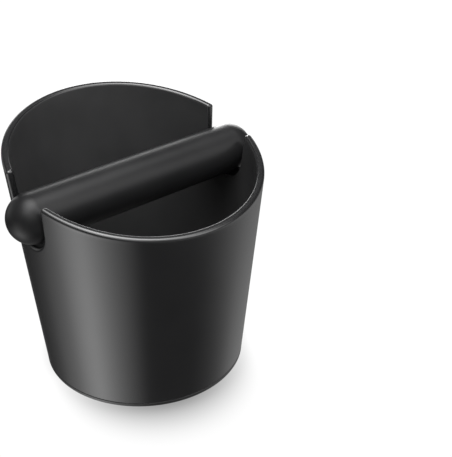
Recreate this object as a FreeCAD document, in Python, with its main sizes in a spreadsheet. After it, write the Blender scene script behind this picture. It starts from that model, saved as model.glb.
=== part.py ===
import FreeCAD, Part
import math
import os
import Sketcher

# Espresso knock box: a tapered plastic bucket whose rim is cut on a slant, low
# at the front and high at the back, with a U-shaped slot each side.  A round
# rubber-covered knock bar lies across the two slots, on a low saddle rib in the
# middle of each, and lifts out.  A rubber ring under the floor stops the box
# from sliding.
#
# Frame: millimetres, +Z up, origin on the bucket's axis at the resting face.
# X runs along the knock bar, -Y is the low front, +Y is the high back.

doc = FreeCAD.newDocument("knock_box")
Vector = FreeCAD.Vector
Constraint = Sketcher.Constraint

# ---------------------------------------------------------------- dimensions
# alias, value
DRIVING = [
    # bucket shell
    ("wall_radius_low", 57.6),      # outer radius the wall would have at z = 0
    ("wall_slope", 0.0986),         # outward lean of the wall, per mm of height
    ("wall_run", 4.3),              # wall thickness, measured level
    ("rim_mid_height", 126.7),      # height of the slanted rim at y = 0
    ("rim_slope", 0.2133),          # rise of the rim per mm towards the back
    ("blank_height", 150.0),        # height of the shell before the rim is cut
    ("floor_top", 6.2),             # inside of the floor
    ("floor_under", 2.0),           # underside of the bucket, on the base ring
    ("floor_corner", 5.0),          # inside radius between floor and wall
    ("foot_edge", 0.8),             # outside rounding at the bottom of the wall
    ("rim_round_out", 1.8),         # rounding of rim and slots, outside edge
    ("rim_round_in", 1.6),          # rounding of rim and slots, inside edge
    ("slot_corner", 1.9),           # rounding where a slot meets the rim
    # cutting shapes for rim and slots, larger than the bucket
    ("cut_reach", 100.0),           # reach of a cut from the bucket's axis
    ("cut_above", 20.0),            # height of a cut above the blank
    # slots for the bar
    ("slot_radius", 14.5),
    ("slot_shift", 1.95),           # middle of the slots behind the bucket's axis
    ("slot_bottom", 93.7),
    ("slot_lean", 3.7),             # lean of each slot side from upright, degrees
    ("bar_radius", 13.8),
    ("bar_shift", 1.4),             # bar axis behind the bucket's axis
    ("bar_height", 110.0),          # bar axis above the resting face
    # saddle rib in each slot that carries the bar
    ("seat_gap", 0.05),             # clearance between the bar and its seat
    ("seat_half", 11.0),            # half the width of a seat across the bar
    ("seat_root", 92.2),            # level the rib is rooted at, inside the wall
    ("seat_start", 63.3),           # distance of a seat from the bucket's axis
    ("seat_width", 1.4),            # thickness of a seat along the bar
    # knock bar
    ("bar_straight", 128.8),        # straight length of the sleeve
    ("core_radius", 9.5),
    ("core_bore", 7.5),             # inside radius of the core tube
    ("core_length", 126.0),
    ("core_gap", 0.05),             # clearance between core and sleeve
    ("plug_head", 2.0),             # thickness of the plug's head
    ("plug_depth", 9.0),            # depth of the plug's spigot in the core
    ("plug_lead", 0.8),             # chamfer on the spigot's nose
    ("plug_gap", 0.02),             # clearance between spigot and bore
    # non-slip base ring
    ("ring_radius", 57.7),
    ("ring_inner", 43.0),
    ("ring_edge", 0.4),             # rounding of the ring's bottom edges
    ("tongue_out", 52.0),           # outer radius of the tongue
    ("tongue_in", 48.0),            # inner radius of the tongue
    ("tongue_top", 3.9),
    ("groove_top", 4.0),
    ("groove_gap", 0.05),           # clearance each side of the tongue
    # underside recess
    ("recess_radius", 40.0),
    ("recess_top", 2.6),
]
# alias, spreadsheet formula
DERIVED = [
    ("foot_radius", "=wall_radius_low + wall_slope * floor_under"),
    ("blank_outer", "=wall_radius_low + wall_slope * blank_height"),
    ("blank_inner", "=wall_radius_low + wall_slope * blank_height - wall_run"),
    ("floor_radius", "=wall_radius_low + wall_slope * floor_top - wall_run"),
    ("groove_inner", "=tongue_in - groove_gap"),
    ("groove_outer", "=tongue_out + groove_gap"),
    ("cut_width", "=2 * cut_reach"),
    ("cut_front_height", "=rim_mid_height - cut_reach * rim_slope"),
    ("cut_back_height", "=rim_mid_height + cut_reach * rim_slope"),
    ("cut_top", "=blank_height + cut_above"),
    ("slot_middle", "=slot_bottom + slot_radius"),
    ("saddle_radius", "=bar_radius + seat_gap"),
    ("seat_back", "=bar_shift + seat_half"),
    ("seat_across", "=2 * seat_half"),
    ("seat_end", "=seat_start + seat_width"),
    ("bar_half", "=bar_straight / 2"),
    ("core_half", "=core_length / 2"),
    ("plug_end", "=core_length / 2 + plug_head"),
    ("spigot_radius", "=core_bore - plug_gap"),
    ("spigot_side", "=core_length / 2 - plug_depth + plug_lead"),
    ("spigot_nose", "=core_length / 2 - plug_depth"),
    ("nose_radius", "=core_bore - plug_gap - plug_lead"),
    ("cavity_half", "=core_length / 2 + plug_head + core_gap"),
    ("cavity_radius", "=core_radius + core_gap"),
]
sheet = doc.addObject("Spreadsheet::Sheet", "Sheet")
for row, (alias, content) in enumerate(DRIVING + DERIVED, start=1):
    sheet.set("A%d" % row, alias)
    sheet.set("B%d" % row, str(content))
    sheet.setAlias("B%d" % row, alias)
    doc.recompute()     # a formula further down may use this cell

# ------------------------------------------------------------ sketch helpers
# A term is an alias of the sheet, an alias with a minus sign, or "0".
START, END, CENTRE = 1, 2, 3            # points of a sketch line or arc
ORIGIN = (-1, 1)                        # the sketch's origin
H_AXIS, V_AXIS = -1, -2                 # the sketch's axes


def value(term):
    """The number a term stands for."""
    if term == "0":
        return 0.0
    amount = float(getattr(sheet, term.lstrip("-")))
    return -amount if term.startswith("-") else amount


def reference(term):
    """The expression that binds a property to a term."""
    return "-Sheet." + term[1:] if term.startswith("-") else "Sheet." + term


def new_body(name):
    body = doc.addObject("PartDesign::Body", name + "_body")
    body.Label = name
    return body


def new_sketch(body, name, role):
    """A sketch on an origin plane: YZ_Plane draws (y, z), XZ_Plane draws (x, z)."""
    sketch = body.newObject("Sketcher::SketchObject", name)
    plane = next(part for part in body.Origin.OriginFeatures if part.Role == role)
    sketch.AttachmentSupport = [(plane, "")]
    sketch.MapMode = "FlatFace"
    return sketch


def line(sketch, start, end):
    sketch.addGeometry(Part.LineSegment(Vector(*start), Vector(*end)), False)


def arc(sketch, centre, radius, first_angle, last_angle):
    circle = Part.Circle(Vector(*centre), Vector(0, 0, 1), radius)
    sketch.addGeometry(Part.ArcOfCircle(circle, first_angle, last_angle), False)


def drive(sketch, name, term, kind, *where):
    """Add a named constraint whose size follows the sheet."""
    index = sketch.addConstraint(Constraint(kind, *where, value(term)))
    sketch.renameConstraint(index, name)
    sketch.setExpression("Constraints." + name, reference(term))


def pin_point(sketch, geometry, point, name, across, up):
    """Hold one sketch point at the terms (across, up)."""
    for term, kind, suffix, zero_axis in (
        (across, "DistanceX", "_x", V_AXIS),
        (up, "DistanceY", "_y", H_AXIS),
    ):
        if term == "0":
            sketch.addConstraint(Constraint("PointOnObject", geometry, point, zero_axis))
        else:
            drive(sketch, name + suffix, term, kind, *ORIGIN, geometry, point)


def outline(sketch, points):
    """A closed run of straight lines through points (name, across, up)."""
    places = [(value(across), value(up)) for _, across, up in points]
    count = len(points)
    for i in range(count):
        line(sketch, places[i], places[(i + 1) % count])
    for i in range(count):
        sketch.addConstraint(Constraint("Coincident", i, END, (i + 1) % count, START))
    for i, (name, across, up) in enumerate(points):
        pin_point(sketch, i, START, name, across, up)


# ----------------------------------------------------------- feature helpers
LEAST_CHANGE = 1000.0       # volume a cut through the bucket must remove, mm3


def finish(body, feature):
    body.Tip = feature
    doc.recompute()
    return feature


def revolve(body, sketch, name, axis):
    turned = body.newObject("PartDesign::Revolution", name)
    turned.Profile = sketch
    turned.ReferenceAxis = (sketch, [axis])
    turned.Angle = 360.0
    return finish(body, turned)


def cut_through(body, base, sketch, name):
    """Pocket the sketch both ways along X, through the whole bucket."""
    pocket = body.newObject("PartDesign::Pocket", name)
    pocket.Profile = sketch
    pocket.Type = 0
    pocket.Midplane = True
    pocket.Length = value("cut_width")
    pocket.setExpression("Length", reference("cut_width"))
    finish(body, pocket)
    if not pocket.Shape.Volume < base.Shape.Volume - LEAST_CHANGE:
        raise RuntimeError("%s removed nothing" % name)
    return pocket


def round_edges(body, base, name, alias, chosen):
    """Fillet the edges of base for which chosen(edge) is true."""
    edges = ["Edge%d" % n for n, edge in enumerate(base.Shape.Edges, start=1) if chosen(edge)]
    fillet = body.newObject("PartDesign::Fillet", name)
    fillet.Base = (base, edges)
    fillet.Radius = value(alias)
    fillet.setExpression("Radius", reference(alias))
    return finish(body, fillet)


# ------------------------------------------------------------ edge selectors
SAMPLES = 7                 # points looked at along an edge
WALL_TOLERANCE = 0.02       # distance of an edge from the wall's cone
LEVEL_TOLERANCE = 0.01      # height error of a level circle
CIRCLE_TOLERANCE = 0.05     # radius error of a level circle
RIM_ZONE = 60.0             # rim and slot edges all lie above this height
CORNER_ZONE = 115.0         # slot corners lie above this height
CORNER_LENGTH = 10.0        # a slot corner, across the wall, is shorter than this


def edge_points(edge):
    first, last = edge.FirstParameter, edge.LastParameter
    return [edge.valueAt(first + (last - first) * i / (SAMPLES - 1.0)) for i in range(SAMPLES)]


def axis_distance(point):
    return math.hypot(point.x, point.y)


def is_line(edge):
    return "Line" in edge.Curve.TypeId


def is_slot_corner(edge):
    """True where a slot side meets the slanted rim, along X."""
    if not is_line(edge):
        return False
    start, end = edge.Vertexes[0].Point, edge.Vertexes[1].Point
    along_x = abs(start.y - end.y) < 1e-6 and abs(start.z - end.z) < 1e-6
    return along_x and start.z > CORNER_ZONE and abs(start.x - end.x) < CORNER_LENGTH


def rim_edge(thickness):
    """Selector for rim and slot edges lying thickness in from the outer wall."""
    def chosen(edge):
        if is_line(edge):
            return False
        for point in edge_points(edge):
            wall = value("wall_radius_low") + value("wall_slope") * point.z - thickness
            if point.z <= RIM_ZONE or abs(axis_distance(point) - wall) > WALL_TOLERANCE:
                return False
        return True
    return chosen


def level_circle(height, *radii):
    """Selector for circles about the Z axis at a height, of any of the radii."""
    def chosen(edge):
        points = edge_points(edge)
        level = all(abs(point.z - height) < LEVEL_TOLERANCE for point in points)
        return level and any(
            all(abs(axis_distance(point) - radius) < CIRCLE_TOLERANCE for point in points)
            for radius in radii)
    return chosen


# -------------------------------------------------------------------- bucket
def draw_slot(sketch):
    """U-shaped slot: a round bottom with two sides that lean apart upwards."""
    lean = math.radians(value("slot_lean"))
    middle_y, middle_z = value("slot_shift"), value("slot_middle")
    radius, top = value("slot_radius"), value("cut_top")
    half_low = radius * math.cos(lean)
    side_low = middle_z - radius * math.sin(lean)
    half_top = half_low + (top - side_low) * math.tan(lean)
    front_low, back_low = (middle_y - half_low, side_low), (middle_y + half_low, side_low)
    front_top, back_top = (middle_y - half_top, top), (middle_y + half_top, top)

    front, bottom, back, lid = range(4)
    line(sketch, front_top, front_low)
    arc(sketch, (middle_y, middle_z), radius, math.pi + lean, 2 * math.pi - lean)
    line(sketch, back_low, back_top)
    line(sketch, back_top, front_top)
    sketch.addConstraint(Constraint("Tangent", front, END, bottom, START))
    sketch.addConstraint(Constraint("Tangent", bottom, END, back, START))
    sketch.addConstraint(Constraint("Coincident", back, END, lid, START))
    sketch.addConstraint(Constraint("Coincident", lid, END, front, START))
    sketch.addConstraint(Constraint("Horizontal", lid))
    drive(sketch, "round", "slot_radius", "Radius", bottom)
    drive(sketch, "middle_y", "slot_shift", "DistanceX", *ORIGIN, bottom, CENTRE)
    drive(sketch, "middle_z", "slot_middle", "DistanceY", *ORIGIN, bottom, CENTRE)
    drive(sketch, "open_top", "cut_top", "DistanceY", *ORIGIN, lid, START)
    index = sketch.addConstraint(Constraint("Angle", back, START, V_AXIS, START, lean))
    sketch.renameConstraint(index, "lean_back")
    index = sketch.addConstraint(Constraint("Angle", V_AXIS, START, front, END, lean))
    sketch.renameConstraint(index, "lean_front")


def add_seat(bucket, name, start):
    """Saddle rib that carries the bar in one slot, from x = start towards +X."""
    sketch = new_sketch(bucket, name + "_profile", "YZ_Plane")
    sketch.AttachmentOffset = FreeCAD.Placement(Vector(0, 0, value(start)), FreeCAD.Rotation())
    sketch.setExpression("AttachmentOffset.Base.z", reference(start))

    middle_y, middle_z = value("bar_shift"), value("bar_height")
    radius, half, root = value("saddle_radius"), value("seat_half"), value("seat_root")
    spread = math.asin(half / radius)
    tip = middle_z - radius * math.cos(spread)
    front_y, back_y = middle_y - half, middle_y + half

    saddle, back, bottom, front = range(4)
    arc(sketch, (middle_y, middle_z), radius, 1.5 * math.pi - spread, 1.5 * math.pi + spread)
    line(sketch, (back_y, tip), (back_y, root))
    line(sketch, (back_y, root), (front_y, root))
    line(sketch, (front_y, root), (front_y, tip))
    for i in range(4):
        sketch.addConstraint(Constraint("Coincident", i, END, (i + 1) % 4, START))
    sketch.addConstraint(Constraint("Vertical", back))
    sketch.addConstraint(Constraint("Vertical", front))
    drive(sketch, "saddle", "saddle_radius", "Radius", saddle)
    drive(sketch, "middle_y", "bar_shift", "DistanceX", *ORIGIN, saddle, CENTRE)
    drive(sketch, "middle_z", "bar_height", "DistanceY", *ORIGIN, saddle, CENTRE)
    drive(sketch, "back_side", "seat_back", "DistanceX", *ORIGIN, back, END)
    drive(sketch, "across", "seat_across", "DistanceX", bottom, END, bottom, START)
    drive(sketch, "root", "seat_root", "DistanceY", *ORIGIN, back, END)
    sketch.addConstraint(Constraint("Horizontal", bottom))

    pad = bucket.newObject("PartDesign::Pad", name)
    pad.Profile = sketch
    pad.Type = 0
    pad.Length = value("seat_width")
    pad.setExpression("Length", reference("seat_width"))
    finish(bucket, pad)


def make_bucket():
    bucket = new_body("bucket")
    profile = new_sketch(bucket, "bucket_profile", "YZ_Plane")
    outline(profile, [
        ("centre_under", "0", "recess_top"),
        ("recess_up", "recess_radius", "recess_top"),
        ("recess_down", "recess_radius", "floor_under"),
        ("groove_in_low", "groove_inner", "floor_under"),
        ("groove_in_top", "groove_inner", "groove_top"),
        ("groove_out_top", "groove_outer", "groove_top"),
        ("groove_out_low", "groove_outer", "floor_under"),
        ("foot", "foot_radius", "floor_under"),
        ("blank_out", "blank_outer", "blank_height"),
        ("blank_in", "blank_inner", "blank_height"),
        ("floor_edge", "floor_radius", "floor_top"),
        ("centre_floor", "0", "floor_top"),
    ])
    shell = revolve(bucket, profile, "bucket_shell", "V_Axis")

    # the slanted rim: everything above a plane that rises towards the back
    slant = new_sketch(bucket, "rim_slant", "YZ_Plane")
    outline(slant, [
        ("front_low", "-cut_reach", "cut_front_height"),
        ("back_low", "cut_reach", "cut_back_height"),
        ("back_high", "cut_reach", "cut_top"),
        ("front_high", "-cut_reach", "cut_top"),
    ])
    rim_cut = cut_through(bucket, shell, slant, "rim_cut")

    # one cut along the bar makes the slots in both walls
    slot = new_sketch(bucket, "bar_slots", "YZ_Plane")
    draw_slot(slot)
    feature = cut_through(bucket, rim_cut, slot, "slot_cut")

    if sum(1 for edge in feature.Shape.Edges if is_slot_corner(edge)) != 4:
        raise RuntimeError("expected 4 slot corners")
    # the corners go first, so that the rim roundings can run round them
    for name, alias, chosen in (
        ("slot_corners", "slot_corner", is_slot_corner),
        ("rim_outside", "rim_round_out", rim_edge(0.0)),
        ("rim_inside", "rim_round_in", rim_edge(value("wall_run"))),
        ("floor_corner_round", "floor_corner",
         level_circle(value("floor_top"), value("floor_radius"))),
        ("foot_round", "foot_edge",
         level_circle(value("floor_under"), value("foot_radius"))),
    ):
        feature = round_edges(bucket, feature, name, alias, chosen)

    add_seat(bucket, "right_seat", "seat_start")
    add_seat(bucket, "left_seat", "-seat_end")
    return bucket


# ----------------------------------------------------------------- base ring
def make_base_ring():
    """Flat ring with a tongue that stands in the groove under the bucket."""
    body = new_body("base_ring")
    sketch = new_sketch(body, "ring_profile", "YZ_Plane")
    outline(sketch, [
        ("low_in", "ring_inner", "0"),
        ("low_out", "ring_radius", "0"),
        ("high_out", "ring_radius", "floor_under"),
        ("tongue_out_low", "tongue_out", "floor_under"),
        ("tongue_out_high", "tongue_out", "tongue_top"),
        ("tongue_in_high", "tongue_in", "tongue_top"),
        ("tongue_in_low", "tongue_in", "floor_under"),
        ("high_in", "ring_inner", "floor_under"),
    ])
    ring = revolve(body, sketch, "ring_turned", "V_Axis")
    bottom_edges = level_circle(0.0, value("ring_inner"), value("ring_radius"))
    round_edges(body, ring, "ring_edges", "ring_edge", bottom_edges)
    return body


# ----------------------------------------------------------------- knock bar
# every piece of the bar is turned about its own X axis, then placed
def make_core():
    """Straight tube inside the sleeve."""
    body = new_body("bar_core")
    sketch = new_sketch(body, "core_profile", "XZ_Plane")
    outline(sketch, [
        ("low_left", "-core_half", "core_bore"),
        ("low_right", "core_half", "core_bore"),
        ("high_right", "core_half", "core_radius"),
        ("high_left", "-core_half", "core_radius"),
    ])
    revolve(body, sketch, "core_turned", "H_Axis")
    return body


def make_plug(name, sign):
    """Plastic plug in one end of the core tube; sign is "-" left, "" right."""
    body = new_body(name)
    sketch = new_sketch(body, name + "_profile", "XZ_Plane")
    outline(sketch, [
        ("head_axis", sign + "plug_end", "0"),
        ("head_rim", sign + "plug_end", "core_radius"),
        ("head_seat", sign + "core_half", "core_radius"),
        ("spigot_root", sign + "core_half", "spigot_radius"),
        ("spigot_side", sign + "spigot_side", "spigot_radius"),
        ("spigot_nose", sign + "spigot_nose", "nose_radius"),
        ("nose_axis", sign + "spigot_nose", "0"),
    ])
    revolve(body, sketch, name + "_turned", "H_Axis")
    return body


def make_sleeve():
    """Rubber sleeve: a closed skin with half-round ends, moulded round the core."""
    body = new_body("bar_sleeve")
    sketch = new_sketch(body, "sleeve_profile", "XZ_Plane")
    radius, half = value("bar_radius"), value("bar_half")
    cavity_radius, cavity_half = value("cavity_radius"), value("cavity_half")

    (left_end, side, right_end, right_axis,
     cavity_right, cavity_side, cavity_left, left_axis) = range(8)
    arc(sketch, (-half, 0), radius, math.pi / 2, math.pi)
    line(sketch, (-half, radius), (half, radius))
    arc(sketch, (half, 0), radius, 0.0, math.pi / 2)
    line(sketch, (half + radius, 0), (cavity_half, 0))
    line(sketch, (cavity_half, 0), (cavity_half, cavity_radius))
    line(sketch, (cavity_half, cavity_radius), (-cavity_half, cavity_radius))
    line(sketch, (-cavity_half, cavity_radius), (-cavity_half, 0))
    line(sketch, (-cavity_half, 0), (-half - radius, 0))

    sketch.addConstraint(Constraint("Tangent", left_end, START, side, START))
    sketch.addConstraint(Constraint("Tangent", side, END, right_end, END))
    sketch.addConstraint(Constraint("Coincident", right_end, START, right_axis, START))
    for i in range(right_axis, left_axis):
        sketch.addConstraint(Constraint("Coincident", i, END, i + 1, START))
    sketch.addConstraint(Constraint("Coincident", left_axis, END, left_end, END))
    sketch.addConstraint(Constraint("Horizontal", side))
    for end, point in ((left_end, CENTRE), (left_end, END),
                       (right_end, CENTRE), (right_end, START)):
        sketch.addConstraint(Constraint("PointOnObject", end, point, H_AXIS))
    pin_point(sketch, cavity_right, START, "cav_right", "cavity_half", "0")
    pin_point(sketch, cavity_right, END, "cav_top_right", "cavity_half", "cavity_radius")
    pin_point(sketch, cavity_left, START, "cav_top_left", "-cavity_half", "cavity_radius")
    pin_point(sketch, cavity_left, END, "cav_left", "-cavity_half", "0")
    drive(sketch, "left_centre", "-bar_half", "DistanceX", *ORIGIN, left_end, CENTRE)
    drive(sketch, "right_centre", "bar_half", "DistanceX", *ORIGIN, right_end, CENTRE)
    drive(sketch, "sleeve_round", "bar_radius", "Radius", left_end)
    revolve(body, sketch, "sleeve_turned", "H_Axis")
    return body


def place_on_seats(body):
    position = Vector(0, value("bar_shift"), value("bar_height"))
    body.Placement = FreeCAD.Placement(position, FreeCAD.Rotation())
    body.setExpression("Placement.Base.y", reference("bar_shift"))
    body.setExpression("Placement.Base.z", reference("bar_height"))


# ----------------------------------------------------------- build and write
box_parts = [make_bucket(), make_base_ring()]
bar_parts = [
    make_core(),
    make_plug("left_core_plug", "-"),
    make_plug("right_core_plug", ""),
    make_sleeve(),
]
for body in bar_parts:
    place_on_seats(body)
doc.recompute()

for obj in doc.Objects:
    bad = [state for state in obj.State if state in ("Invalid", "Error")]
    if bad:
        raise RuntimeError("%s is %s" % (obj.Name, bad))
    if obj.TypeId == "Sketcher::SketchObject" and obj.solve() != 0:
        raise RuntimeError("%s does not solve" % obj.Name)

parts = box_parts + bar_parts
for body in parts:
    shape = body.Shape
    if shape.isNull() or not shape.isValid():
        raise RuntimeError("%s has no valid shape" % body.Label)
    if len(shape.Solids) != 1:
        raise RuntimeError("%s has %d solids" % (body.Label, len(shape.Solids)))

os.makedirs("parts", exist_ok=True)
for body in parts:
    body.Shape.exportStep("parts/%s.step" % body.Label)
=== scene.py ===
# A black tapered bucket with a slanted rim, low at the front (-Y) and high at the back (+Y).
# U-shaped slots in its left (-X) and right (+X) walls hold a sleeved bar lying along X.
# A rubber ring under the foot stands on z = 0, centred on the Z axis.
import bpy
import math
import numpy as np
from mathutils import Matrix


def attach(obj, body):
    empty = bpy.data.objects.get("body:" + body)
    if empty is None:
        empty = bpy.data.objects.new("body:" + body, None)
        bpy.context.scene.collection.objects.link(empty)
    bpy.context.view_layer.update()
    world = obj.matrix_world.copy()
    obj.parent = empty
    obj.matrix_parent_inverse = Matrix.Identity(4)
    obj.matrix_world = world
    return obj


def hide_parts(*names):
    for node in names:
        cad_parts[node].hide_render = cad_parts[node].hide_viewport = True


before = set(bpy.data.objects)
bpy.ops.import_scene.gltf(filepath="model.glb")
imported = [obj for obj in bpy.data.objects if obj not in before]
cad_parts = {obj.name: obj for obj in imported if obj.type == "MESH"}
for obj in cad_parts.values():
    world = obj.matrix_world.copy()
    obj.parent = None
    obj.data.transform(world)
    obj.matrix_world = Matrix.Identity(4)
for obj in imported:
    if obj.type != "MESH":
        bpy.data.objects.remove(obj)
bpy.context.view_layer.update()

MM = 0.001
TAU = 2.0 * math.pi

# ------------------------------------------------------------------ sizes, mm
# wall: radii are at z = 0 and grow by WALL_LEAN per mm of height
WALL_R0, WALL_LEAN, WALL_THICK = 57.6, 0.0986, 4.3
INNER_R0 = WALL_R0 - WALL_THICK
WALL_NORMAL = np.array([1.0, -WALL_LEAN]) / math.hypot(1.0, WALL_LEAN)    # radial, z
EDGE_OUT, EDGE_IN = 1.8, 1.6                     # rounding of the rim and slot edges

# slanted rim: height at y = 0 and rise per mm of y
RIM_Z, RIM_RISE = 126.7, 0.2133
RIM_NORMAL = np.array([-RIM_RISE, 1.0]) / math.hypot(1.0, RIM_RISE)       # y, z

# slots: half-round bottom, sides leaning apart, rounded corners at the rim
SLOT_R, SLOT_LEAN, SLOT_CORNER = 14.5, math.radians(3.7), 1.9
SLOT_BOTTOM = 93.7
SLOT_CENTRE = np.array([1.95, SLOT_BOTTOM + SLOT_R])                      # y, z

# bar sleeve with domed ends; BAR_HALF is half its straight length
BAR_R, BAR_Y, BAR_Z, BAR_HALF = 13.8, 1.4, 110.0, 64.4

# saddle ribs under the bar: gap to the sleeve, half width in y, foot height, inner x
SEAT_GAP, SEAT_HALF, SEAT_ROOT, SEAT_X = 0.05, 11.0, 92.2, 63.3
SEAT_THICK, SEAT_EASE = 1.4, 0.15

# bucket bottom
FLOOR_TOP, FLOOR_ROUND = 6.2, 5.0                # inner floor and the rounding round it
FLOOR_UNDER, FOOT_ROUND = 2.0, 0.8
RECESS_Z, RECESS_R = 2.6, 40.0                   # shallow recess in the underside

# base ring, with a tongue that stands up into a groove in the underside
RING_OUT, RING_IN, RING_EDGE, RING_TOP_EDGE = 57.7, 43.0, 0.4, 0.25
TONGUE_IN, TONGUE_OUT, TONGUE_TOP = 48.0, 52.0, 3.9
GROOVE_IN, GROOVE_OUT, GROOVE_TOP = TONGUE_IN - 0.05, TONGUE_OUT + 0.05, TONGUE_TOP + 0.1


# ------------------------------------------------------------------- geometry
def unit(vectors):
    return vectors / np.linalg.norm(vectors, axis=-1, keepdims=True)


def slerp(start, end, share):
    """Unit vectors a share of the way round from start to end."""
    dot = np.clip(np.sum(start * end, axis=-1, keepdims=True), -1.0, 1.0)
    angle = np.arccos(dot)
    sine = np.sin(angle)
    sine = np.where(sine < 1e-6, 1.0, sine)
    between = (start * np.sin((1.0 - share) * angle) + end * np.sin(share * angle)) / sine
    return unit(np.where(angle < 1e-6, start, between))


def fillet(corner, start, end, radius, steps):
    """(point, normal) pairs rounding a corner between faces with normals start and end.
    A negative radius fills a hollow corner."""
    centre = corner - radius * (start + end) / (1.0 + np.sum(start * end, axis=-1, keepdims=True))
    normals = [slerp(start, end, share) for share in np.linspace(0.0, 1.0, steps + 1)]
    return [(centre + radius * normal, normal) for normal in normals]


def ring(theta, radius, z):
    """Points round Z, or normals when given their radial and z parts."""
    return np.stack([radius * np.cos(theta), radius * np.sin(theta), np.full_like(theta, z)],
                    axis=1)


def azimuth(points):
    return np.unwrap(np.arctan2(points[:, 1], points[:, 0]))


def wall_normals(theta):
    return ring(theta, *WALL_NORMAL)


def mesh_object(name, verts, faces):
    """An object from vertices in mm."""
    mesh = bpy.data.meshes.new(name)
    mesh.from_pydata((np.array(verts) * MM).tolist(), [], faces)
    mesh.update()
    obj = bpy.data.objects.new(name, mesh)
    bpy.context.scene.collection.objects.link(obj)
    return obj


class Skin:
    """A surface grown ring by ring. Each strip of faces keeps its own normals at both
    edges, so that edges between strips can be smooth or sharp."""

    def __init__(self, points, normals=None):
        self.rings = [points]
        self.strips = []
        self.normals = normals

    def smooth(self, points, normals):
        """Adds a ring; the strip blends from the last normals to these."""
        self.rings.append(points)
        self.strips.append((self.normals, normals))
        self.normals = normals

    def flat(self, points, normals):
        """Adds a ring; the strip has these normals at both edges."""
        self.normals = normals
        self.smooth(points, normals)

    def build(self, name, first_tip=None, last_tip=None):
        """Makes the object. A tip is a (point, normal) that closes an end with a fan."""
        count = len(self.rings[0])
        here = np.arange(count)
        after = (here + 1) % count
        verts = np.concatenate(self.rings)
        first = np.stack([here, after, after + count, here + count], axis=1)
        quads = np.concatenate([first + i * count for i in range(len(self.strips))])
        normals = np.concatenate([np.stack([a[here], a[after], b[after], b[here]], axis=1)
                                  for a, b in self.strips])
        fans, fan_normals = [], []
        for row, tip in ((0, first_tip), (len(self.strips), last_tip)):
            if tip is None:
                continue
            centre = np.full(count, len(verts))
            verts = np.concatenate([verts, [tip[0]]])
            edge, edge_after = row * count + here, row * count + after
            fan = [edge, centre, edge_after] if row == 0 else [edge, edge_after, centre]
            fans.append(np.stack(fan, axis=1))
            fan_normals.append(np.tile(tip[1], (3 * count, 1)))
        # turn the faces so that they look the same way as their normals
        corners = verts[quads]
        facing = np.cross(corners[:, 2] - corners[:, 0], corners[:, 3] - corners[:, 1])
        against = np.sum(facing * normals.mean(axis=1), axis=1) < 0
        if np.mean(against) > 0.5:
            quads, normals = quads[:, ::-1], normals[:, ::-1]
            fans = [fan[:, ::-1] for fan in fans]
        faces = [face for part in (quads, *fans) for face in part.tolist()]
        obj = mesh_object(name, verts, faces)
        mesh = obj.data
        mesh.polygons.foreach_set("use_smooth", np.ones(len(mesh.polygons), bool))
        loop_normals = np.concatenate([normals.reshape(-1, 3), *fan_normals])
        mesh.normals_split_custom_set(unit(loop_normals).tolist())
        mesh.update()
        return obj


# --------------------------------------------------------------- bucket shell
def cut_quarter(way):
    """The cut edge from the middle of the right slot's bottom to the front (way -1) or
    the back (way +1) of the rim: outer points, inner points and cut normals."""
    # half-round bottom, in (y, z)
    phi = np.linspace(0.0, math.pi / 2 - SLOT_LEAN, 30)
    bottom_normals = np.stack([-way * np.sin(phi), np.cos(phi)], axis=1)
    bottom = SLOT_CENTRE - SLOT_R * bottom_normals
    # leaning side, up to the rounded corner where it would meet the rim
    start = bottom[-1]
    along = np.array([way * math.sin(SLOT_LEAN), math.cos(SLOT_LEAN)])
    side_normal = np.array([-way * math.cos(SLOT_LEAN), math.sin(SLOT_LEAN)])
    length = (RIM_Z + RIM_RISE * start[0] - start[1]) / (along[1] - RIM_RISE * along[0])
    corner = fillet(start + length * along, side_normal, RIM_NORMAL, SLOT_CORNER, 12)
    shares = np.linspace(0.0, 1.0, 13)[1:, None]
    side = start + shares * (corner[0][0] - start)
    outline = np.concatenate([bottom, side, [point for point, _ in corner[1:]]])
    normals = np.concatenate([bottom_normals, np.tile(side_normal, (len(side), 1)),
                              [normal for _, normal in corner[1:]]])
    # both wall faces, carried on round the rim
    rim_shares = np.linspace(0.0, 1.0, 97)[1:]
    y, z = outline.T
    edges = []
    for base_radius in (WALL_R0, INNER_R0):
        slot = np.stack([np.sqrt((base_radius + WALL_LEAN * z) ** 2 - y ** 2), y, z], axis=1)
        begin = math.atan2(slot[-1][1], slot[-1][0])
        theta = begin + (way * math.pi / 2 - begin) * rim_shares
        radius = (base_radius + WALL_LEAN * RIM_Z) / (1.0 - WALL_LEAN * RIM_RISE * np.sin(theta))
        rim = ring(theta, radius, RIM_Z + RIM_RISE * radius * np.sin(theta))
        edges.append(np.concatenate([slot, rim]))
    normals = np.concatenate([normals, np.tile(RIM_NORMAL, (len(rim_shares), 1))])
    cut = np.column_stack([np.zeros(len(normals)), normals])
    return edges[0], edges[1], cut


def cut_loop():
    """The whole cut edge, anticlockwise from the front: outer points, inner points,
    cut normals, and the azimuth each point has at the foot."""
    quarters = []
    for way in (-1, 1):
        outer, inner, cut = cut_quarter(way)
        steps = np.linalg.norm(np.diff(outer, axis=0), axis=1)
        walked = np.concatenate([[0.0], np.cumsum(steps)]) / steps.sum()
        begin = math.atan2(outer[0][1], outer[0][0])
        foot = begin + (way * math.pi / 2 - begin) * walked
        quarters.append((outer, inner, cut, foot))
    outer, inner, cut, foot = (np.concatenate([front[::-1], back[1:]])
                               for front, back in zip(*quarters))

    def closed(right, left):
        return np.concatenate([right, left[::-1][1:-1]])

    mirror = np.array([-1.0, 1.0, 1.0])
    return (closed(outer, outer * mirror), closed(inner, inner * mirror),
            closed(cut, cut), closed(foot, math.pi - foot))


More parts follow.
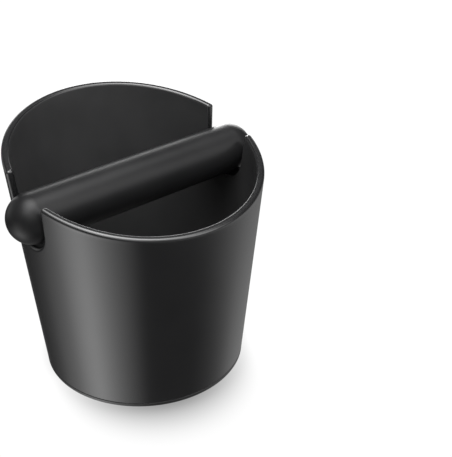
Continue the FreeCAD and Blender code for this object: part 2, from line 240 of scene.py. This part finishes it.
def wall_level(foot, low_z, edge, base_radius, share):
    """Points and outward normals a share of the way up a wall, from low_z to its edge."""
    theta = foot + (azimuth(edge) - foot) * share
    z = low_z + (edge[:, 2] - low_z) * share
    return ring(theta, base_radius + WALL_LEAN * z, z), wall_normals(theta)


def bucket_shell():
    outer, inner, cut, foot = cut_loop()
    outer_edge = fillet(outer, wall_normals(azimuth(outer)), cut, EDGE_OUT, 7)
    inner_edge = fillet(inner, -wall_normals(azimuth(inner)), cut, EDGE_IN, 5)
    wall_shares = np.linspace(0.0, 1.0, 21)
    up, outward = np.array([0.0, 1.0]), np.array([1.0, 0.0])

    # underside, from the middle outwards: radius, z, normal as (radial, z)
    underside = [
        (RECESS_R, RECESS_Z, -up),
        (RECESS_R, FLOOR_UNDER, -outward),
        (GROOVE_IN, FLOOR_UNDER, -up),
        (GROOVE_IN, GROOVE_TOP, outward),
        (GROOVE_OUT, GROOVE_TOP, -up),
        (GROOVE_OUT, FLOOR_UNDER, -outward),
    ]
    skin = Skin(ring(foot, 20.0, RECESS_Z))
    for radius, z, normal in underside:
        skin.flat(ring(foot, radius, z), ring(foot, *normal))

    # rounded foot
    corner = np.array([WALL_R0 + WALL_LEAN * FLOOR_UNDER, FLOOR_UNDER])
    rounding = fillet(corner, -up, WALL_NORMAL, FOOT_ROUND, 5)
    skin.flat(ring(foot, *rounding[0][0]), ring(foot, *-up))
    for point, normal in rounding[1:]:
        skin.smooth(ring(foot, *point), ring(foot, *normal))

    # outer wall and outer edge
    low_z = rounding[-1][0][1]
    for share in wall_shares[1:-1]:
        skin.smooth(*wall_level(foot, low_z, outer_edge[0][0], WALL_R0, share))
    for points, normals in outer_edge:
        skin.smooth(points, normals)

    # cut face and inner edge
    skin.smooth((outer_edge[-1][0] + inner_edge[-1][0]) / 2.0, cut)
    for points, normals in reversed(inner_edge):
        skin.smooth(points, normals)

    # inner wall down to the rounded edge of the floor
    corner = np.array([INNER_R0 + WALL_LEAN * FLOOR_TOP, FLOOR_TOP])
    rounding = fillet(corner, -WALL_NORMAL, up, -FLOOR_ROUND, 7)
    low_z = rounding[0][0][1]
    for share in wall_shares[-2::-1]:
        points, normals = wall_level(foot, low_z, inner_edge[0][0], INNER_R0, share)
        skin.smooth(points, -normals)
    for point, normal in rounding[1:]:
        skin.smooth(ring(foot, *point), ring(foot, *normal))
    for radius in (34.0, 16.0):
        skin.flat(ring(foot, radius, FLOOR_TOP), ring(foot, *up))
    return skin.build("bucket_shell",
                      first_tip=((0.0, 0.0, RECESS_Z), (0.0, 0.0, -1.0)),
                      last_tip=((0.0, 0.0, FLOOR_TOP), (0.0, 0.0, 1.0)))


# ------------------------------------------------------------- turned pieces
def turned(name, profile, segments, axis="Z", place=(0.0, 0.0, 0.0), **tips):
    """A surface turned about Z or X. Profile rows are along, radius and the normal's
    along and radial parts; a sharp corner has two rows."""
    theta = np.linspace(0.0, TAU, segments, endpoint=False)

    def spin(along, radius):
        points = ring(theta, radius, along)
        return points if axis == "Z" else np.roll(points, 1, axis=1)

    last = profile[0][:2]
    skin = Skin(spin(*last) + np.array(place), spin(*profile[0][2:]))
    for row in profile[1:]:
        normals = spin(*row[2:])
        if math.dist(row[:2], last) < 1e-9:
            skin.normals = normals
        else:
            skin.smooth(spin(*row[:2]) + np.array(place), normals)
        last = row[:2]
    return skin.build(name, **tips)


def arc(along, radius, size, start, stop, steps):
    """Profile rows of an arc of radius size about (along, radius); angles in degrees
    from the radial direction towards +along."""
    return [(along + size * math.sin(a), radius + size * math.cos(a), math.sin(a), math.cos(a))
            for a in np.linspace(math.radians(start), math.radians(stop), steps + 1)]


def base_ring():
    edge, top_edge = RING_EDGE, RING_TOP_EDGE
    profile = [
        *arc(edge, RING_OUT - edge, edge, -90, 0, 6),
        *arc(FLOOR_UNDER - top_edge, RING_OUT - top_edge, top_edge, 0, 90, 4),
        (FLOOR_UNDER, TONGUE_OUT, 1, 0), (FLOOR_UNDER, TONGUE_OUT, 0, 1),
        (TONGUE_TOP, TONGUE_OUT, 0, 1), (TONGUE_TOP, TONGUE_OUT, 1, 0),
        (TONGUE_TOP, TONGUE_IN, 1, 0), (TONGUE_TOP, TONGUE_IN, 0, -1),
        (FLOOR_UNDER, TONGUE_IN, 0, -1), (FLOOR_UNDER, TONGUE_IN, 1, 0),
        (FLOOR_UNDER, RING_IN, 1, 0), (FLOOR_UNDER, RING_IN, 0, -1),
        *arc(edge, RING_IN + edge, edge, 180, 270, 6),
        (0.0, RING_OUT - edge, -1, 0),
    ]
    return turned("base_ring_rubber", profile, segments=288)


def bar_sleeve():
    profile = [
        *arc(-BAR_HALF, 0.0, BAR_R, -86, 0, 22),
        *((x, BAR_R, 0.0, 1.0) for x in np.linspace(-BAR_HALF, BAR_HALF, 13)[1:-1]),
        *arc(BAR_HALF, 0.0, BAR_R, 0, 86, 22),
    ]
    tip_x = BAR_HALF + BAR_R
    return turned("bar_sleeve_rubber", profile, segments=144, axis="X",
                  place=(0.0, BAR_Y, BAR_Z),
                  first_tip=((-tip_x, BAR_Y, BAR_Z), (-1.0, 0.0, 0.0)),
                  last_tip=((tip_x, BAR_Y, BAR_Z), (1.0, 0.0, 0.0)))


# ------------------------------------------------------------------ bar seats
def bar_seat(name, x_low):
    """Saddle rib in the middle of a slot, with slightly eased edges."""
    radius = BAR_R + SEAT_GAP
    reach = math.asin(SEAT_HALF / radius)
    phi = np.linspace(-reach, reach, 25)
    saddle_normals = np.stack([-np.sin(phi), np.cos(phi)], axis=1)
    saddle = np.array([BAR_Y, BAR_Z]) - radius * saddle_normals
    outline = np.concatenate([saddle, [(BAR_Y + SEAT_HALF, SEAT_ROOT),
                                       (BAR_Y - SEAT_HALF, SEAT_ROOT)]])
    # at a corner, the sum of the normals of the two faces that meet there
    outward = np.concatenate([saddle_normals, [(1.0, -1.0), (-1.0, -1.0)]])
    outward[0] += (-1.0, 0.0)
    outward[len(saddle) - 1] += (1.0, 0.0)
    inset = outline - SEAT_EASE * outward

    x_high = x_low + SEAT_THICK
    sections = ((x_low, inset), (x_low + SEAT_EASE, outline),
                (x_high - SEAT_EASE, outline), (x_high, inset))
    verts = [(x, y, z) for x, loop in sections for y, z in loop]
    # each end is a fan about a point low in the rib
    verts += [(x, BAR_Y, SEAT_ROOT + 2.0) for x in (x_low, x_high)]
    count = len(outline)
    pairs = [(k, (k + 1) % count) for k in range(count)]
    faces = [(j * count + k, j * count + m, (j + 1) * count + m, (j + 1) * count + k)
             for j in range(3) for k, m in pairs]
    faces += [(m, k, 4 * count) for k, m in pairs]
    faces += [(3 * count + k, 3 * count + m, 4 * count + 1) for k, m in pairs]
    return mesh_object(name, verts, faces)


# --------------------------------------------------------------------- pieces
shell = bucket_shell()
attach(shell, "bucket")
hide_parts("bucket")

seats = [bar_seat("left_bar_seat", -SEAT_X - SEAT_THICK), bar_seat("right_bar_seat", SEAT_X)]
for seat in seats:
    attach(seat, "bucket")

foot_ring = base_ring()
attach(foot_ring, "bucket")
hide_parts("base_ring")

sleeve = bar_sleeve()
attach(sleeve, "bar_sleeve")
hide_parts("bar_sleeve")


# ------------------------------------------------------------------ materials
class Nodes:
    """Shorthand for building the node tree of a material or world."""

    def __init__(self, owner):
        owner.use_nodes = True
        self.tree = owner.node_tree
        self.tree.nodes.clear()

    def add(self, kind, inputs=None, **settings):
        """Adds a node; inputs maps socket names or numbers to values or sockets."""
        node = self.tree.nodes.new(kind)
        for key, value in settings.items():
            setattr(node, key, value)
        for key, value in (inputs or {}).items():
            self.feed(node.inputs[key], value)
        return node

    def feed(self, socket, value):
        if isinstance(value, bpy.types.NodeSocket):
            self.tree.links.new(value, socket)
        else:
            socket.default_value = value

    def math(self, operation, *values):
        return self.add("ShaderNodeMath", dict(enumerate(values)), operation=operation).outputs[0]

    def split(self, vector):
        return self.add("ShaderNodeSeparateXYZ", {"Vector": vector}).outputs

    def ramp(self, factor, stops):
        """A linear ramp through (position, colour) stops."""
        node = self.add("ShaderNodeValToRGB", {"Fac": factor})
        elements = node.color_ramp.elements
        while len(elements) > 1:
            elements.remove(elements[-1])
        for i, (position, colour) in enumerate(stops):
            element = elements[0] if i == 0 else elements.new(position)
            element.position = position
            element.color = (*colour, 1.0)
        return node.outputs["Color"]

    def noise(self, coord, scale, detail, roughness):
        return self.add("ShaderNodeTexNoise", {"Vector": coord, "Scale": scale, "Detail": detail,
                                               "Roughness": roughness}).outputs["Fac"]

    def span(self, value, source, target):
        """Maps the source range onto the target range, clamped."""
        return self.add("ShaderNodeMapRange", {
            "Value": value, "From Min": source[0], "From Max": source[1],
            "To Min": target[0], "To Max": target[1]}).outputs["Result"]


def polish_rim(nodes, coord, rough, specular, smoother, shinier):
    """Roughness and specular sockets, smoother and shinier next to the slanted rim."""
    at = nodes.split(coord)
    plane = nodes.math("ADD", nodes.math("MULTIPLY", at["Y"], RIM_RISE), RIM_Z * MM)
    below = nodes.math("SUBTRACT", plane, at["Z"])
    near = nodes.span(below, source=(0.0010, 0.0035), target=(1.0, 0.0))
    rough = nodes.math("SUBTRACT", rough, nodes.math("MULTIPLY", near, smoother))
    return rough, nodes.math("ADD", nodes.math("MULTIPLY", near, shinier), specular)


def surface(name, dark, light, rough, grain, depth, specular=0.5, metallic=0.0,
            stretch=None, rim=None):
    """Slightly mottled colour and roughness with a very fine moulded grain. grain is the
    noise scale and depth the bump in metres; rim holds the settings of polish_rim."""
    material = bpy.data.materials.new(name)
    nodes = Nodes(material)
    coord = nodes.add("ShaderNodeTexCoord").outputs["Object"]
    if stretch:
        mapping = nodes.add("ShaderNodeMapping", {"Vector": coord, "Scale": stretch})
        coord = mapping.outputs["Vector"]
    broad = nodes.noise(coord, scale=60.0, detail=4.0, roughness=0.55)
    fine = nodes.noise(coord, scale=grain, detail=2.0, roughness=0.6)
    mixed = nodes.math("ADD", nodes.math("MULTIPLY", broad, 0.7),
                       nodes.math("MULTIPLY", fine, 0.3))
    roughness = nodes.span(mixed, source=(0.3, 0.7), target=rough)
    bump = nodes.add("ShaderNodeBump", {"Strength": 0.5, "Distance": depth, "Height": fine})
    bsdf = nodes.add("ShaderNodeBsdfPrincipled", {
        "Base Color": nodes.ramp(broad, [(0.3, dark), (0.7, light)]),
        "Specular IOR Level": specular,
        "Metallic": metallic,
        "Normal": bump.outputs["Normal"]})
    if rim:
        roughness, shine = polish_rim(nodes, coord, roughness, specular, **rim)
        nodes.feed(bsdf.inputs["Specular IOR Level"], shine)
    nodes.feed(bsdf.inputs["Roughness"], roughness)
    nodes.add("ShaderNodeOutputMaterial", {"Surface": bsdf.outputs["BSDF"]})
    return material


plastic = surface("satin_black_plastic",
                  dark=(0.0102, 0.0102, 0.0106), light=(0.0118, 0.0118, 0.0122),
                  rough=(0.25, 0.27), grain=2600.0, depth=0.000003,
                  rim={"smoother": 0.0375, "shinier": 0.15})
# the same black plastic as the outside, painted about three times lighter: painted fill light for
# the shaded inside of the bucket
inside = surface("satin_black_inside_painted_fill",
                 dark=(0.0300, 0.0300, 0.0305), light=(0.0360, 0.0360, 0.0365),
                 rough=(0.34, 0.42), grain=2600.0, depth=0.000004)
bar_rubber = surface("soft_black_rubber",
                     dark=(0.0094, 0.0094, 0.0098), light=(0.0118, 0.0118, 0.0122),
                     rough=(0.30, 0.37), grain=2200.0, depth=0.000005, specular=0.17)
foot_rubber = surface("satin_base_rubber",
                      dark=(0.0105, 0.0105, 0.0107), light=(0.0135, 0.0135, 0.0137),
                      rough=(0.34, 0.42), grain=1800.0, depth=0.000008)
# the ribs are the bucket's own plastic, painted about half as light: painted shade for the dark
# gap under the bar in the slots
seat_plastic = surface("seat_plastic_painted_shade",
                       dark=(0.0050, 0.0050, 0.0052), light=(0.0065, 0.0065, 0.0067),
                       rough=(0.50, 0.60), grain=2600.0, depth=0.000004, specular=0.12)
steel = surface("drawn_steel_tube",
                dark=(0.36, 0.36, 0.37), light=(0.46, 0.46, 0.47),
                rough=(0.26, 0.36), grain=900.0, depth=0.00002, metallic=1.0,
                stretch=(0.08, 1.0, 1.0))
plug = surface("plain_black_plug",
               dark=(0.030, 0.030, 0.031), light=(0.042, 0.042, 0.043),
               rough=(0.45, 0.58), grain=2400.0, depth=0.00003)


def dress(obj, *materials):
    obj.data.materials.clear()
    for material in materials:
        obj.data.materials.append(material)


def is_inside(centre):
    """Whether a shell face centred here, in mm, is on the inner wall or floor."""
    inner_radius = INNER_R0 + WALL_LEAN * centre.z
    return math.hypot(centre.x, centre.y) < inner_radius + 0.15 and centre.z > 4.5


# faces on the inner wall and floor get the lighter copy with the painted fill light
dress(shell, plastic, inside)
shell.data.polygons.foreach_set(
    "material_index", [int(is_inside(face.center / MM)) for face in shell.data.polygons])
for seat in seats:
    dress(seat, seat_plastic)
dress(foot_ring, foot_rubber)
dress(sleeve, bar_rubber)
for node_name, material in (("bar_core", steel), ("left_core_plug", plug),
                            ("right_core_plug", plug)):
    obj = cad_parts[node_name]
    for slot in obj.material_slots:
        slot.material = material
    if not obj.material_slots:
        obj.data.materials.append(material)

# --------------------------------------------------------------------- camera
CAMERA_AT = (-0.270623, -0.407244, 0.372923)
CAMERA_AZIMUTH = math.atan2(CAMERA_AT[1], CAMERA_AT[0])

camera_data = bpy.data.cameras.new("camera")
camera_data.sensor_fit = "AUTO"
camera_data.sensor_width = 36.0
camera_data.lens = 79.939
camera_data.clip_start = 0.01
camera_data.clip_end = 50.0
camera = bpy.data.objects.new("camera", camera_data)
bpy.context.scene.collection.objects.link(camera)
camera.matrix_world = Matrix((
    (0.775118, 0.324110, -0.542351, CAMERA_AT[0]),
    (-0.631812, 0.400872, -0.663412, CAMERA_AT[1]),
    (0.002395, 0.856886, 0.515500, CAMERA_AT[2]),
    (0.0, 0.0, 0.0, 1.0)))
bpy.context.scene.camera = camera

# ---------------------------------------------------------------------- floor
BACKDROP = 1.03                                  # brightness of the floor and background
SHADOW_START = 0.057                             # m from the Z axis
SHADOW_AZIMUTH = CAMERA_AZIMUTH + math.radians(13.0)
REACH_MIN, REACH_GAIN = 0.004, 0.016             # m, all round and added on the deep side
DEPTH_MIN, DEPTH_GAIN = 0.13, 0.40
CONTACT_REACH, CONTACT_DEPTH = 0.007, 0.15       # extra painted shadow close to the foot


def pale_floor():
    """A glowing floor with a painted soft shadow round the foot, widest and deepest a little
    anticlockwise of the camera."""
    material = bpy.data.materials.new("pale_floor")
    nodes = Nodes(material)
    at = nodes.split(nodes.add("ShaderNodeNewGeometry").outputs["Position"])
    x, y = at["X"], at["Y"]
    away = nodes.math("SQRT", nodes.math("ADD", nodes.math("MULTIPLY", x, x),
                                         nodes.math("MULTIPLY", y, y)))
    angle = nodes.math("SUBTRACT", nodes.math("ARCTAN2", y, x), SHADOW_AZIMUTH)
    side = nodes.span(nodes.math("COSINE", angle), source=(0.25, 1.0), target=(0.0, 1.0))
    side = nodes.math("POWER", side, 1.5)

    def fall_off(reach):
        gap = nodes.math("MAXIMUM", nodes.math("SUBTRACT", away, SHADOW_START), 0.0)
        ratio = nodes.math("DIVIDE", gap, reach)
        square = nodes.math("MULTIPLY", ratio, ratio)
        return nodes.math("EXPONENT", nodes.math("MULTIPLY", square, -1.0))

    fade = fall_off(nodes.math("ADD", nodes.math("MULTIPLY", side, REACH_GAIN), REACH_MIN))
    depth = nodes.math("ADD", nodes.math("MULTIPLY", side, DEPTH_GAIN), DEPTH_MIN)
    contact = nodes.math("MULTIPLY", fall_off(CONTACT_REACH), side)
    depth = nodes.math("ADD", depth, nodes.math("MULTIPLY", contact, CONTACT_DEPTH))
    strength = nodes.math("SUBTRACT", BACKDROP, nodes.math("MULTIPLY", fade, depth))
    glow = nodes.add("ShaderNodeEmission", {"Strength": strength, "Color": (1.0, 1.0, 1.0, 1.0)})
    nodes.add("ShaderNodeOutputMaterial", {"Surface": glow.outputs["Emission"]})
    return material


bpy.ops.mesh.primitive_circle_add(vertices=96, radius=6.0, fill_type="NGON", location=(0, 0, 0))
floor = bpy.context.object
floor.name = "floor"
floor.data.materials.append(pale_floor())
floor.visible_diffuse = False
floor.visible_glossy = False
floor.visible_shadow = False

# ---------------------------------------------------------------- light tent
# Each row is a height in degrees and the brightness there every 30 degrees round from
# the camera, anticlockwise seen from above.
TENT = [
    (-75.0, [0.31] * 12),
    (-45.0, [0.00, 0.00, 0.00, 0.27, 0.70, 0.48, 0.52, 0.04, 0.22, 1.20, 4.42, 1.95]),
    (-20.0, [0.16, 0.60, 0.86, 1.40, 0.69, 0.27, 0.00, 0.00, 0.00, 0.00, 2.18, 0.63]),
    (5.0, [0.00, 0.00, 0.00, 0.00, 0.00, 0.00, 10.20, 0.00, 1.16, 0.00, 0.00, 0.00]),
    (30.0, [1.30, 0.30, 4.33, 0.00, 0.00, 0.00, 0.00, 0.00, 0.00, 0.00, 0.00, 0.00]),
    (55.0, [3.81, 1.67, 4.76, 0.00, 0.00, 0.00, 0.00, 0.00, 0.00, 0.00, 1.52, 5.73]),
    (85.0, [11.68] * 12),
]


def light_tent():
    """World light blended between the rows of TENT; the camera sees a plain backdrop."""
    world = bpy.data.worlds.new("tent")
    bpy.context.scene.world = world
    nodes = Nodes(world)
    at = nodes.split(nodes.add("ShaderNodeTexCoord").outputs["Generated"])
    angle = nodes.math("SUBTRACT", nodes.math("ARCTAN2", at["Y"], at["X"]), CAMERA_AZIMUTH)
    # the added whole turns keep the fraction positive
    turn = nodes.math("FRACT", nodes.math("ADD", nodes.math("DIVIDE", angle, TAU), 2.0))
    height = nodes.math("MULTIPLY", nodes.math("ARCSINE", at["Z"]), 180.0 / math.pi)
    total = None
    for j, (level, values) in enumerate(TENT):
        peak = max(values)
        stops = [(i / 12.0, (value / peak,) * 3) for i, value in enumerate(values + values[:1])]
        around = nodes.ramp(turn, stops)
        weights = []
        if j > 0:
            weights.append(nodes.span(height, source=(TENT[j - 1][0], level), target=(0.0, 1.0)))
        if j + 1 < len(TENT):
            weights.append(nodes.span(height, source=(level, TENT[j + 1][0]), target=(1.0, 0.0)))
        weight = nodes.math("MINIMUM", *weights) if len(weights) == 2 else weights[0]
        term = nodes.math("MULTIPLY", nodes.math("MULTIPLY", around, weight), peak)
        total = nodes.math("ADD", total, term) if total else term
    seen = nodes.add("ShaderNodeLightPath").outputs["Is Camera Ray"]
    mix = nodes.add("ShaderNodeMix", {0: seen, 2: total, 3: BACKDROP}, data_type="FLOAT")
    back = nodes.add("ShaderNodeBackground", {"Strength": mix.outputs[0],
                                              "Color": (1.0, 1.0, 1.0, 1.0)})
    nodes.add("ShaderNodeOutputWorld", {"Surface": back.outputs["Background"]})


light_tent()
bpy.context.scene.view_settings.view_transform = "Standard"
